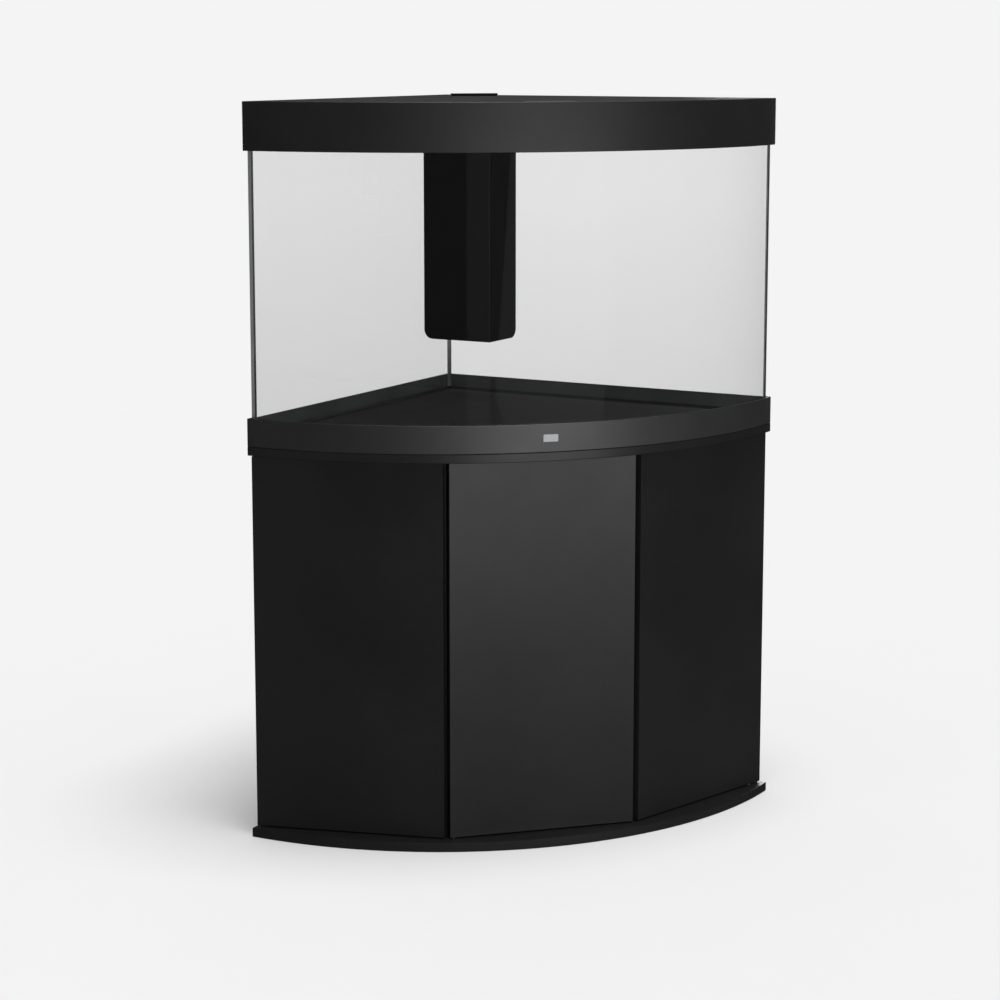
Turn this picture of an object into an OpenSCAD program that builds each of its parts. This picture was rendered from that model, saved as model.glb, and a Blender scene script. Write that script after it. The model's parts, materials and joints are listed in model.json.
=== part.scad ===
// Corner aquarium on a cabinet with three doors.
// The plan is a quarter circle: its two straight sides stand against the walls of a room corner
// and its curved side is the front, which faces -Y. Z is up.
// The origin is at floor level, in the middle of the base board's outline.

/* [Plan] */
// Radius of the tank's plan, from the back corner to the curved front
plan_r = 700; // [680:5:720]
// How far the base board stands out past the tank at the front
base_overhang = 4; // [2:1:8]

/* [Cabinet] */
// Height of the cabinet, to the top of its top board
cabinet_h = 712; // [660:4:760]
// Thickness of every board
board_t = 16; // [16:1:18]
// Angle between two neighbouring doors
facet_turn = 28.4; // [27:0.2:29]
// How far the outer doors' corners stand back from the ends of the plan
facet_inset = 7; // [6:1:9]
// Gap between two neighbouring doors, measured along their faces
door_gap = 11.6; // [11:0.2:13]
// Gap above and below each door
door_clear = 2; // [2:0.5:4]
// Length of the two boards that stand behind the door gaps
partition_len = 280; // [240:10:320]
// Height of the shelf's upper face
shelf_h = 360; // [300:10:420]
// Width of the hose and cable cut-out in each side wall
cutout_w = 90; // [80:5:110]
// Height of that cut-out
cutout_h = 56; // [50:2:70]

/* [Tank] */
// Height of the tank, from the top board to the top of its cover
tank_h = 602; // [560:2:640]
// Height of the plastic frame round the foot of the tank
lower_frame_h = 50; // [44:1:60]
// Height of the plastic frame round the top of the tank
upper_frame_h = 85; // [75:1:95]
// Thickness of the frames' outer wall
skirt_t = 4; // [3:0.5:4]
// Thickness of the three upright panes
pane_t = 8; // [6:1:8]
// Thickness of the floor pane
floor_t = 10; // [8:1:12]
// Size of the silicone fillets along the floor and in the back corner
fillet = 6; // [4:1:8]
// Size of the silicone fillets at the ends of the curved pane
end_fillet = 3; // [2:1:6]

/* [Cover] */
// Distance from the back corner to the middle of the light bar
light_d = 500; // [490:5:505]
// Width of the light bar, from back to front
light_w = 108; // [100:2:112]
// Length of the lamp tubes
tube_len = 742; // [680:1:742]
// Diameter of the lamp tubes
tube_dia = 16; // [16:1:16]
// Thickness of the flaps
flap_t = 3; // [2.5:0.5:3]
// Width of the grip on the rear flap
grip_w = 92; // [70:2:110]

/* [Filter] */
// Size of the filter box along the right-hand wall
filter_len = 146; // [140:2:160]
// Size of the filter box along the left-hand wall
filter_wid = 106; // [104:2:110]
// Height of the filter box's bottom above the floor of the room
filter_foot = 845; // [840:5:860]
// Radius of the box's lower edges on the sides that face the glass
filter_round = 18; // [12:1:20]
// Thickness of the filter box's walls
filter_wall = 2.5; // [2:0.5:3]

/* [Hidden] */
$fn = 64;
ARC_FN = 240;
CUT = 1; // how far a cutting shape runs past the face it cuts

// Colours
BOARD = [0.10, 0.10, 0.10];
PLASTIC = [0.13, 0.13, 0.13];
DARK = [0.05, 0.05, 0.05];
STEEL = [0.75, 0.75, 0.77];
NYLON = [0.88, 0.87, 0.83];
WOOD = [0.80, 0.64, 0.42];
PANE = [0.85, 0.93, 0.92, 0.35];

// Plan: the base outline's middle is the origin
base_r = plan_r + base_overhang;
corner_y = base_r / 2;
LEFT = -1;
MIDDLE = 0;
RIGHT = 1;
SIDES = [LEFT, MIDDLE, RIGHT];

// Doors: three facets of one width, whose outer corners lie on the straight sides
facet_w = (plan_r - facet_inset) / (sqrt(2) * (0.5 + cos(facet_turn)));
facet_reach = facet_w * (0.5 + cos(facet_turn) + sin(facet_turn));
facet_bevel = 45 - facet_turn;
door_end_gap = 3;
door_z = board_t + door_clear;
door_h = cabinet_h - 2 * door_z;
pivot_inset = 13.5;
pivot_depth = 6;
pin_r = 3;
pin_in_door = 30;
pin_in_bush = 9;
running_gap = 0.05;
bush_r = 5;
bush_deep = 12;
bush_flange_r = 7;
bush_flange_h = 1.4;
bush_floor = 2;

// Boards
inner_h = cabinet_h - 2 * board_t;
board_setback = board_t + 4;
gap_angle = atan(facet_w / 2 / facet_reach);
corner_r = facet_reach / cos(gap_angle);
side_front = plan_r - facet_inset - board_setback / cos(facet_bevel) - board_t * tan(facet_bevel);
partition_front = corner_r - board_setback / cos(facet_turn / 2) - board_t / 2 * tan(facet_turn / 2);
partition_back = partition_front - partition_len;
LEFT_WALL = 0;
RIGHT_WALL = 1;
LEFT_PARTITION = 2;
RIGHT_PARTITION = 3;
UPRIGHTS = [LEFT_WALL, RIGHT_WALL, LEFT_PARTITION, RIGHT_PARTITION];
cutout_start = 70;
cutout_top = cabinet_h - board_t - 40;

// Fasteners of the boards
dowel_r = 4;
dowel_len = 30;
dowel_margin = 45;
cam_r = 7.5;
cam_deep = 12.5;
cam_up = 34;
cam_bolt_r = 3;
cam_bolt_start = 5;
shelf_t = board_t;
shelf_pin_r = 2.5;
shelf_pin_len = 16;
shelf_pin_front = 60;
shelf_pin_back = 220;
shelf_front = 45;
shelf_back = 280;
shelf_clear = 1;
catch_size = [40, 18, 14];
catch_from_end = 60;
catch_face = board_t + 1.4;
strike_size = [30, 1, 10];

// Tank levels
tank_z = cabinet_h;
tank_top = tank_z + tank_h;
floor_z = tank_z + 10;
pane_z = floor_z + floor_t + 1;
bead_z = floor_z + floor_t + fillet; // where the upright silicone beads start
pane_inset = skirt_t + 1;
pane_inner = pane_inset + pane_t;
band_z = tank_top - upper_frame_h;
web_t = 4;
web_top = tank_top - 11;
web_inner = 30;
pane_top = web_top - web_t - 2;
pane_end = plan_r - 8;
ledge_inner = 24;
lip_t = 3;
lip_h = 16;
plaque_size = [27, 1.2, 13];
plaque_corner_r = 1.5;

// Cover
light_back = light_d - light_w / 2;
light_front = light_d + light_w / 2;
light_len = 750;
light_wall = 2.5;
light_low = tank_top - 48;
deck_inset = skirt_t + 1.7;
hinge_r = 4;
hinge_z = tank_top - hinge_r;
hinge_out = 5.5;
hinge_half = 393;
ear_gap = 1;
ear_w = 10;
ear_reach = 4.5;
flap_pin_r = 2;
flap_pin_in = 16;
flap_start = 8.5;
flap_rim_h = 6;
flap_rim_t = 2.5;
notch_d = 85;
grip_size = [grip_w, 9, 6];
rear_grip_d = 210;
rib_size = [2, 1.2];
rib_pitch = 4.5;
rib_d = plan_r - deck_inset - 14;
tube_z = tank_top - 26;
tube_spread = 25;
socket_r = 12;
socket_len = 31;
gear_size = [260, 30, 20];
splash_t = 3;
splash_lip = 10;
gland_x = -300;
gland_z = tank_top - 30;

// Filter box, measured from the back corner along the two walls
filter_x = pane_inner + 1.5;
filter_y = pane_inner + 7;
filter_top = web_top - web_t - lip_h - 2;
filter_h = filter_top - filter_foot;
divider_y = 96;
divider_gap = 28;
chamber_y = filter_y + (divider_y + filter_wall + filter_len - filter_wall) / 2;
pump_x = filter_x + 76;
heater_x = filter_x + 24;
slot_count = 8;
slot_pitch = 9;
slot_w = 4;
slot_h = 48;
basket_wall = 2;
basket_gap = 1.5;
basket_h = 158;
lower_basket_z = filter_foot + 36;
upper_basket_z = lower_basket_z + basket_h + 4;
basket_len = divider_y - filter_wall - 2 * basket_gap;
basket_wid = filter_wid - 2 * filter_wall - 2 * basket_gap;

// Pump and its outlet
pump_r = 21;
pump_z = filter_foot + 275;
pump_h = 94;
rotor_bore_r = 8.6;
rotor_r = 8;
vane_r = 13;
vane_h = 16;
vane_t = 2.5;
chamber_r = 16;
chamber_h = 20;
cap_t = 4;
shaft_r = 1.5;
pipe_r = 8;
pipe_bore_r = 6;
pipe_off = 8;
pipe_top = filter_top - 30;
pipe_out = 14;
nozzle_r = 10.5;
nozzle_start = 2;
nozzle_len = 13;
nozzle_bend = 30;
nozzle_reach = 24;

// Heater
heater_r = 11;
heater_z = filter_foot + 60;
heater_len = 290;
heater_cap_r = 13;
heater_cap_h = 42;
dial_r = 10;
dial_h = 14;

// ---- Places -------------------------------------------------------------------------------

// Back corner of the plan: +X runs along the left-hand wall and +Y along the right-hand wall
module in_corner() {
    translate([0, corner_y, 0]) rotate([0, 0, -135]) children();
}

// Back corner of the plan: +Y runs straight to the front and +X to the left
module forward() {
    translate([0, corner_y, 0]) rotate([0, 0, 180]) children();
}

// Middle of one door's face: +X runs to the right along the face and +Y into the cabinet
module at_facet(side) {
    translate([side * facet_w / 2, corner_y - facet_reach, 0])
        rotate([0, 0, side * facet_turn])
            translate([side * facet_w / 2, 0, 0])
                children();
}

// The end of a door that its hinge pins are in
function hinge_end(side) = side == RIGHT ? 1 : -1;

module at_pivot(side) {
    at_facet(side)
        translate([hinge_end(side) * (facet_w / 2 - pivot_inset), pivot_depth, 0])
            children();
}

// Both ends of the cabinet's height: the foot, and its mirror image at the top
module at_foot_and_top() {
    children();
    translate([0, 0, cabinet_h]) mirror([0, 0, 1]) children();
}

// Frame of one upright board: +X runs from the back corner along it and +Y through its thickness
module on_upright(n) {
    if (n == LEFT_WALL) {
        in_corner() children();
    } else if (n == RIGHT_WALL) {
        in_corner() mirror([1, -1, 0]) children();
    } else {
        translate([0, corner_y, 0])
            rotate([0, 0, (n == LEFT_PARTITION ? -1 : 1) * gap_angle - 90])
                translate([0, -board_t / 2, 0])
                    children();
    }
}

// Where an upright starts and ends along its own +X
function upright_start(n) = n == LEFT_WALL ? 0 : n == RIGHT_WALL ? board_t : partition_back;
function upright_end(n) = n == LEFT_WALL || n == RIGHT_WALL ? side_front : partition_front;
function upright_middle(n) = (upright_start(n) + upright_end(n)) / 2;

// ---- Outlines -----------------------------------------------------------------------------

// The quarter circle, drawn in by inset on all three sides
module plan(inset = 0) {
    intersection() {
        circle(r = plan_r - inset, $fn = ARC_FN);
        translate([inset, inset]) square(plan_r);
    }
}

module plan_ring(outer, inner) {
    difference() {
        plan(outer);
        plan(inner);
    }
}

// A plate or ring of the plan between two heights
module plan_plate(low, high, inset) {
    in_corner() translate([0, 0, low]) linear_extrude(high - low) plan(inset);
}

module plan_wall(low, high, outer, inner) {
    in_corner() translate([0, 0, low]) linear_extrude(high - low) plan_ring(outer, inner);
}

// A slot with round ends, centred on the origin
module round_slot(w, h) {
    square([w - h, h], center = true);
    for (end = [-1, 1])
        translate([end * (w - h) / 2, 0]) circle(d = h);
}

// The concave triangle that a silicone bead fills between two faces
module bead_profile(size = fillet) {
    difference() {
        square(size);
        translate([size, size]) circle(r = size);
    }
}

// ---- Cabinet fasteners --------------------------------------------------------------------

module dowels(n) {
    on_upright(n)
        at_foot_and_top()
            for (x = [upright_start(n) + dowel_margin, upright_end(n) - dowel_margin])
                translate([x, board_t / 2, board_t - 12])
                    cylinder(r = dowel_r, h = dowel_len);
}

module cams(n) {
    on_upright(n)
        at_foot_and_top()
            translate([upright_middle(n), board_t, board_t + cam_up])
                rotate([90, 0, 0])
                    cylinder(r = cam_r, h = cam_deep);
}

module cam_bolt_rods(n) {
    rod_len = board_t + cam_up - cam_r - cam_bolt_start + 3;
    on_upright(n)
        at_foot_and_top()
            translate([upright_middle(n), board_t / 2, cam_bolt_start])
                cylinder(r = cam_bolt_r, h = rod_len);
}

module bush_body(side) {
    at_pivot(side)
        at_foot_and_top() {
            translate([0, 0, board_t - bush_deep]) cylinder(r = bush_r, h = bush_deep);
            translate([0, 0, board_t]) cylinder(r = bush_flange_r, h = bush_flange_h);
        }
}

module door_pin_rods(side, r = pin_r) {
    pin_start = board_t + bush_flange_h - bush_deep + bush_floor + 1;
    at_pivot(side)
        at_foot_and_top()
            translate([0, 0, pin_start])
                cylinder(r = r, h = door_z + pin_in_door - pin_start);
}

module shelf_pin_rods(n) {
    on_upright(n)
        for (back = [shelf_pin_front, shelf_pin_back])
            translate([upright_end(n) - back, board_t - shelf_pin_len / 2, shelf_h - shelf_t - shelf_pin_r])
                rotate([-90, 0, 0])
                    cylinder(r = shelf_pin_r, h = shelf_pin_len);
}

// ---- Cabinet ------------------------------------------------------------------------------

module base_board() {
    color(BOARD)
        difference() {
            in_corner()
                linear_extrude(board_t)
                    intersection() {
                        circle(r = base_r, $fn = ARC_FN);
                        square(base_r);
                    }
            board_fixings();
        }
}

module top_board() {
    color(BOARD)
        difference() {
            plan_plate(cabinet_h - board_t, cabinet_h, 0);
            board_fixings();
        }
}

// What is let into the base and top boards
module board_fixings() {
    for (n = UPRIGHTS) {
        dowels(n);
        cam_bolt_rods(n);
    }
    for (side = SIDES)
        bush_body(side);
}

module upright(n) {
    color(BOARD)
        difference() {
            on_upright(n)
                translate([upright_start(n), 0, board_t])
                    cube([upright_end(n) - upright_start(n), board_t, inner_h]);
            dowels(n);
            cams(n);
            cam_bolt_rods(n);
            if (n == LEFT_WALL || n == RIGHT_WALL)
                on_upright(n)
                    translate([cutout_start + cutout_w / 2, board_t + CUT, cutout_top - cutout_h / 2])
                        rotate([90, 0, 0])
                            linear_extrude(board_t + 2 * CUT)
                                round_slot(cutout_w, cutout_h);
            if (n == RIGHT_WALL || n == RIGHT_PARTITION)
                shelf_pin_rods(n);
        }
}

module left_side_wall() {
    upright(LEFT_WALL);
}

module right_side_wall() {
    upright(RIGHT_WALL);
}

module left_partition() {
    upright(LEFT_PARTITION);
}

module right_partition() {
    upright(RIGHT_PARTITION);
}

// The shelf fills the right-hand compartment between the partition and the side wall
module shelf() {
    wall_gap = board_t + shelf_clear;
    function left_x(depth) = -facet_w / 2 + depth * tan(facet_turn / 2)
        + (board_t / 2 + shelf_clear) / cos(facet_turn / 2);
    function right_x(depth) = facet_w / 2 - depth * tan(facet_bevel) - wall_gap / cos(facet_bevel);
    color(BOARD)
        at_facet(RIGHT)
            translate([0, 0, shelf_h - shelf_t])
                linear_extrude(shelf_t)
                    polygon([
                        [left_x(shelf_front), shelf_front],
                        [right_x(shelf_front), shelf_front],
                        [right_x(shelf_back), shelf_back],
                        [left_x(shelf_back), shelf_back]
                    ]);
}

module shelf_pins() {
    color(STEEL)
        for (n = [RIGHT_WALL, RIGHT_PARTITION])
            shelf_pin_rods(n);
}

module wood_dowels() {
    color(WOOD)
        for (n = UPRIGHTS)
            dowels(n);
}

module cam_locks() {
    screwdriver_slot = [9, 2, 1.5];
    color(STEEL)
        difference() {
            for (n = UPRIGHTS)
                cams(n);
            for (n = UPRIGHTS) {
                cam_bolt_rods(n);
                on_upright(n)
                    at_foot_and_top()
                        translate([upright_middle(n), board_t, board_t + cam_up])
                            rotate([90, 0, 0])
                                translate([0, 0, screwdriver_slot[2] / 2])
                                    cube([screwdriver_slot[0], screwdriver_slot[1], screwdriver_slot[2] + 0.01],
                                        center = true);
            }
        }
}

module cam_bolts() {
    color(STEEL)
        for (n = UPRIGHTS)
            cam_bolt_rods(n);
}

module pivot_bushes() {
    color(NYLON)
        difference() {
            for (side = SIDES)
                bush_body(side);
            for (side = SIDES)
                at_pivot(side)
                    at_foot_and_top()
                        translate([0, 0, board_t - bush_deep + bush_floor])
                            cylinder(r = pin_r + running_gap, h = bush_deep + bush_flange_h);
        }
}

module catch_magnets() {
    for (side = SIDES)
        color(DARK)
            at_facet(side)
                translate([
                    -hinge_end(side) * (facet_w / 2 - catch_from_end) - catch_size[0] / 2,
                    catch_face,
                    cabinet_h - board_t - catch_size[2]
                ])
                    cube(catch_size);
}

// ---- Doors --------------------------------------------------------------------------------

module door(side) {
    slant = board_t * tan(facet_bevel);
    left_gap = side == LEFT ? door_end_gap : door_gap / 2;
    right_gap = side == RIGHT ? door_end_gap : door_gap / 2;
    left_slant = side == LEFT ? slant : 0;
    right_slant = side == RIGHT ? slant : 0;
    half = facet_w / 2;
    color(BOARD)
        difference() {
            at_facet(side)
                translate([0, 0, door_z])
                    linear_extrude(door_h)
                        polygon([
                            [left_gap - half, 0],
                            [half - right_gap, 0],
                            [half - right_gap - right_slant, board_t],
                            [left_gap + left_slant - half, board_t]
                        ]);
            door_pin_rods(side);
        }
}

module left_door() {
    door(LEFT);
}

module middle_door() {
    door(MIDDLE);
}

module right_door() {
    door(RIGHT);
}

module left_door_pins() {
    color(STEEL) door_pin_rods(LEFT);
}

module middle_door_pins() {
    color(STEEL) door_pin_rods(MIDDLE);
}

module right_door_pins() {
    color(STEEL) door_pin_rods(RIGHT);
}

module strike_plate(side) {
    color(STEEL)
        at_facet(side)
            translate([
                -hinge_end(side) * (facet_w / 2 - catch_from_end) - strike_size[0] / 2,
                board_t,
                door_z + door_h - 1 - strike_size[2]
            ])
                cube(strike_size);
}

module left_strike_plate() {
    strike_plate(LEFT);
}

module middle_strike_plate() {
    strike_plate(MIDDLE);
}

module right_strike_plate() {
    strike_plate(RIGHT);
}

// ---- Tank ---------------------------------------------------------------------------------

module lower_frame() {
    ledge_t = 4;
    color(PLASTIC)
        union() {
            plan_wall(tank_z, tank_z + lower_frame_h, 0, skirt_t);
            plan_wall(floor_z - ledge_t, floor_z, skirt_t, ledge_inner);
            plan_wall(tank_z, floor_z - ledge_t, ledge_inner - ledge_t, ledge_inner);
        }
}

// A blank plaque that follows the frame's curve, in the middle of the front
module name_plaque() {
    color([0.75, 0.75, 0.75])
        intersection() {
            forward()
                translate([0, 0, tank_z + lower_frame_h / 2 - plaque_size[2] / 2])
                    linear_extrude(plaque_size[2])
                        difference() {
                            circle(r = plan_r + plaque_size[1], $fn = ARC_FN);
                            circle(r = plan_r, $fn = ARC_FN);
                        }
            forward()
                translate([0, plan_r + 5, tank_z + lower_frame_h / 2])
                    rotate([90, 0, 0])
                        linear_extrude(10)
                            rounded_plate(plaque_size[0], plaque_size[2], plaque_corner_r);
        }
}

// A rectangle with rounded corners, centred on the origin
module rounded_plate(w, h, r) {
    square([w - 2 * r, h], center = true);
    square([w, h - 2 * r], center = true);
    for (x = [-1, 1])
        for (y = [-1, 1])
            translate([x * (w / 2 - r), y * (h / 2 - r)]) circle(r = r);
}

module floor_glass() {
    color(PANE) plan_plate(floor_z, floor_z + floor_t, pane_inset);
}

module rear_left_glass() {
    color(PANE)
        in_corner()
            translate([pane_inset, pane_inset, pane_z])
                cube([pane_end - pane_inset, pane_t, pane_top - pane_z]);
}

// This pane ends 1 mm short of the other, where the silicone joins them
module rear_right_glass() {
    color(PANE)
        in_corner()
            translate([pane_inset, pane_inner + 1, pane_z])
                cube([pane_t, pane_end - pane_inner - 1, pane_top - pane_z]);
}

module front_glass() {
    color(PANE)
        in_corner()
            translate([0, 0, pane_z])
                linear_extrude(pane_top - pane_z)
                    intersection() {
                        plan_ring(pane_inset, pane_inner);
                        translate([pane_inner + 1, pane_inner + 1]) square(plan_r);
                    }
}

// A thin bed under the upright panes, and the fillet round the floor
module floor_seal() {
    color(DARK)
        union() {
            plan_wall(floor_z + floor_t, pane_z, pane_inset, pane_inner);
            in_corner()
                translate([0, 0, floor_z + floor_t])
                    intersection() {
                        rotate_extrude($fn = ARC_FN)
                            translate([plan_r - pane_inner, 0])
                                mirror([1, 0, 0])
                                    bead_profile();
                        linear_extrude(fillet) plan(pane_inner);
                    }
            for (n = [LEFT_WALL, RIGHT_WALL])
                on_upright(n)
                    translate([pane_inner, pane_inner, floor_z + floor_t])
                        rotate([90, 0, 90])
                            linear_extrude(plan_r - 2 * pane_inner - fillet)
                                bead_profile();
        }
}

module rear_corner_seal() {
    color(DARK)
        union() {
            in_corner()
                translate([pane_inset, pane_inner, pane_z])
                    cube([pane_t, 1, pane_top - pane_z]);
            in_corner()
                translate([pane_inner, pane_inner, bead_z])
                    linear_extrude(pane_top - bead_z)
                        bead_profile();
        }
}

// The seam between a rear pane and the end of the curved pane
module end_seal(n) {
    color(DARK)
        union() {
            on_upright(n)
                translate([plan_r - pane_inner, pane_inner, pane_z])
                    cube([pane_end - plan_r + pane_inner, 1, pane_top - pane_z]);
            on_upright(n)
                translate([0, 0, bead_z])
                    linear_extrude(pane_top - bead_z)
                        intersection() {
                            circle(r = plan_r - pane_inner, $fn = ARC_FN);
                            translate([plan_r - pane_inner, pane_inner])
                                mirror([1, 0])
                                    bead_profile(end_fillet);
                        }
        }
}

module left_end_seal() {
    end_seal(LEFT_WALL);
}

module right_end_seal() {
    end_seal(RIGHT_WALL);
}

module upper_frame() {
    notch_w = 24;
    notch_h = 10;
    lip_outer = pane_inner + 3;
    color(PLASTIC)
        difference() {
            union() {
                plan_wall(band_z, tank_top, 0, skirt_t);
                plan_wall(web_top - web_t, web_top, skirt_t, web_inner);
                plan_wall(web_top - web_t - lip_h, web_top - web_t, lip_outer, lip_outer + lip_t);
            }
            // Cable notch in the rear rim, beside the corner
            in_corner()
                translate([-CUT, pane_inner + 20, tank_top - notch_h])
                    cube([skirt_t + 2 * CUT, notch_w, notch_h + CUT]);
        }
}

// ---- Cover --------------------------------------------------------------------------------

// Both long sides of the light bar: +X along the hinge line and +Y away from the bar
module at_hinges() {
    at_front_hinge() children();
    at_rear_hinge() children();
}

module at_front_hinge() {
    forward() translate([0, light_front + hinge_out, hinge_z]) children();
}

module at_rear_hinge() {
    forward() translate([0, light_back - hinge_out, hinge_z]) mirror([0, 1, 0]) children();
}

module light_housing() {
    deck_t = tank_top - web_top;
    color(PLASTIC)
        difference() {
            union() {
                // The deck reaches the frame on both sides, and the trough hangs below it
                forward()
                    translate([0, 0, web_top])
                        linear_extrude(deck_t)
                            intersection() {
                                rotate([0, 0, 45]) plan(deck_inset);
                                translate([-plan_r, light_back]) square([2 * plan_r, light_w]);
                            }
                forward()
                    translate([-light_len / 2, light_back, light_low])
                        cube([light_len, light_w, tank_top - light_low - 1]);
                at_hinges()
                    for (end = [-1, 1])
                        translate([
                            end * (hinge_half + ear_gap + ear_w / 2) - ear_w / 2,
                            -hinge_out,
                            web_top + 1 - hinge_z
                        ])
                            cube([ear_w, hinge_out + ear_reach, tank_top - web_top - 1]);
            }
            forward()
                translate([-light_len / 2 + light_wall, light_back + light_wall, light_low - CUT])
                    cube([light_len - 2 * light_wall, light_w - 2 * light_wall, tank_top - light_wall - light_low + CUT]);
            hinge_pin_rods(flap_pin_r);
            gland_body();
        }
}

module hinge_pin_rods(r) {
    at_hinges()
        for (end = [0, 1])
            mirror([end, 0, 0])
                translate([hinge_half - flap_pin_in, 0, 0])
                    rotate([0, 90, 0])
                        cylinder(r = r, h = flap_pin_in + ear_gap + ear_w);
}

module flap_hinge_pins() {
    color(STEEL) hinge_pin_rods(flap_pin_r);
}

module control_gear() {
    color(NYLON)
        forward()
            translate([-gear_size[0] / 2, light_d - gear_size[1] / 2, tank_top - light_wall - gear_size[2]])
                cube(gear_size);
}

module tube_rod(d, r, length) {
    forward()
        translate([-length / 2, d, tube_z])
            rotate([0, 90, 0])
                cylinder(r = r, h = length);
}

module front_light_tube() {
    color("white") tube_rod(light_d + tube_spread, tube_dia / 2, tube_len);
}

module rear_light_tube() {
    color("white") tube_rod(light_d - tube_spread, tube_dia / 2, tube_len);
}

module tube_sockets() {
    socket_end = light_len / 2 - light_wall;
    color(DARK)
        difference() {
            for (d = [light_d - tube_spread, light_d + tube_spread])
                difference() {
                    tube_rod(d, socket_r, 2 * socket_end);
                    tube_rod(d, socket_r + CUT, 2 * (socket_end - socket_len));
                }
            for (d = [light_d - tube_spread, light_d + tube_spread])
                tube_rod(d, tube_dia / 2, tube_len);
        }
}

// A clear tray that closes the light bar from below
module splash_cover() {
    color(PANE)
        forward()
            translate([-light_len / 2, light_back, light_low - splash_t])
                union() {
                    cube([light_len, light_w, splash_t]);
                    difference() {
                        translate([light_wall, light_wall, splash_t])
                            cube([light_len - 2 * light_wall, light_w - 2 * light_wall, splash_lip]);
                        translate([light_wall + 2, light_wall + 2, splash_t])
                            cube([light_len - 2 * light_wall - 4, light_w - 2 * light_wall - 4, splash_lip + CUT]);
                    }
                }
}

module gland_body() {
    forward()
        translate([gland_x, light_back + light_wall + 3, gland_z])
            rotate([90, 0, 0]) {
                cylinder(r = 5, h = light_wall + 3);
                translate([0, 0, light_wall + 3]) cylinder(r = 7, h = 10);
            }
}

module cable_gland() {
    color(DARK)
        difference() {
            gland_body();
            forward()
                translate([gland_x, light_back + light_wall + 3 + CUT, gland_z])
                    rotate([90, 0, 0])
                        cylinder(r = 3.2, h = 30);
        }
}

// The round edge that a flap turns on, with a bore for a pin in each end
module flap_barrel() {
    rotate([0, 90, 0])
        translate([0, 0, -hinge_half])
            cylinder(r = hinge_r, h = 2 * hinge_half);
}

module flap_pin_bores() {
    for (end = [0, 1])
        mirror([end, 0, 0])
            translate([hinge_half - flap_pin_in - 2, 0, 0])
                rotate([0, 90, 0])
                    cylinder(r = flap_pin_r + running_gap, h = flap_pin_in + 2 + CUT);
}

module rear_grip() {
    forward()
        translate([0, rear_grip_d, tank_top])
            linear_extrude(grip_size[2])
                rounded_plate(grip_size[0], grip_size[1], 4);
}

// Three low ribs near the free edge, which give a fingertip something to push against
module front_grip() {
    forward()
        for (i = [-1, 0, 1])
            translate([0, rib_d + i * rib_pitch, tank_top])
                linear_extrude(rib_size[1])
                    rounded_plate(grip_w, rib_size[0], 0.9);
}

module front_flap() {
    plate_d = light_front + hinge_out;
    color(PLASTIC)
        difference() {
            union() {
                forward()
                    translate([0, 0, tank_top - flap_t])
                        linear_extrude(flap_t)
                            front_flap_outline(deck_inset, plate_d);
                forward()
                    translate([0, 0, tank_top - flap_t - flap_rim_h])
                        linear_extrude(flap_rim_h)
                            difference() {
                                front_flap_outline(deck_inset, plate_d + flap_start);
                                front_flap_outline(deck_inset + flap_rim_t, plate_d + flap_start + flap_rim_t);
                            }
                at_front_hinge() flap_barrel();
                front_grip();
            }
            at_front_hinge() flap_pin_bores();
        }
}

// The segment in front of the light bar, with a tongue that reaches the hinge between its ears
module front_flap_outline(inset, from_d) {
    ears_d = light_front + hinge_out + flap_start;
    intersection() {
        circle(r = plan_r - inset, $fn = ARC_FN);
        union() {
            translate([-plan_r, max(from_d, ears_d)]) square([2 * plan_r, plan_r]);
            translate([-hinge_half, from_d]) square([2 * hinge_half, plan_r - from_d]);
        }
    }
}

module rear_flap() {
    plate_d = light_back - hinge_out;
    color(PLASTIC)
        difference() {
            union() {
                forward()
                    translate([0, 0, tank_top - flap_t])
                        linear_extrude(flap_t) {
                            rear_flap_outline(deck_inset, notch_d, plate_d - flap_start);
                            translate([-hinge_half, plate_d - flap_start - CUT])
                                square([2 * hinge_half, flap_start + CUT]);
                        }
                forward()
                    translate([0, 0, tank_top - flap_t - flap_rim_h])
                        linear_extrude(flap_rim_h)
                            difference() {
                                rear_flap_outline(deck_inset, notch_d, plate_d - flap_start);
                                rear_flap_outline(
                                    deck_inset + flap_rim_t,
                                    notch_d + flap_rim_t,
                                    plate_d - flap_start - flap_rim_t
                                );
                            }
                at_rear_hinge() flap_barrel();
                rear_grip();
            }
            at_rear_hinge() flap_pin_bores();
        }
}

// The triangle behind the light bar, cut off short of the corner to leave room for cables
module rear_flap_outline(inset, near_d, far_d) {
    side = inset * sqrt(2);
    polygon([
        [side - near_d, near_d],
        [near_d - side, near_d],
        [far_d - side, far_d],
        [side - far_d, far_d]
    ]);
}

// ---- Filter -------------------------------------------------------------------------------

// Side view of the filter box: its lower edge next to the glass is rounded
module filter_profile(length, r) {
    height = filter_h + 2 * CUT;
    translate([r, 0]) square([length - r, height]);
    translate([0, r]) square([r + CUT, height - r]);
    translate([r, r]) circle(r = r);
}

// The filter box, drawn in by inset; its top is always open-ended past the true top
module filter_block(inset) {
    long = filter_len - 2 * inset;
    wide = filter_wid - 2 * inset;
    r = filter_round - inset;
    in_corner()
        translate([filter_x + inset, filter_y + inset, filter_foot + inset])
            intersection() {
                translate([0, long, 0])
                    rotate([90, 0, 0])
                        linear_extrude(long)
                            filter_profile(wide, r);
                rotate([90, 0, 90])
                    linear_extrude(wide)
                        filter_profile(long, r);
            }
}

// Anything inside the filter box is placed from its corner nearest to the glass
module in_filter() {
    in_corner() translate([filter_x, filter_y, 0]) children();
}

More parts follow.
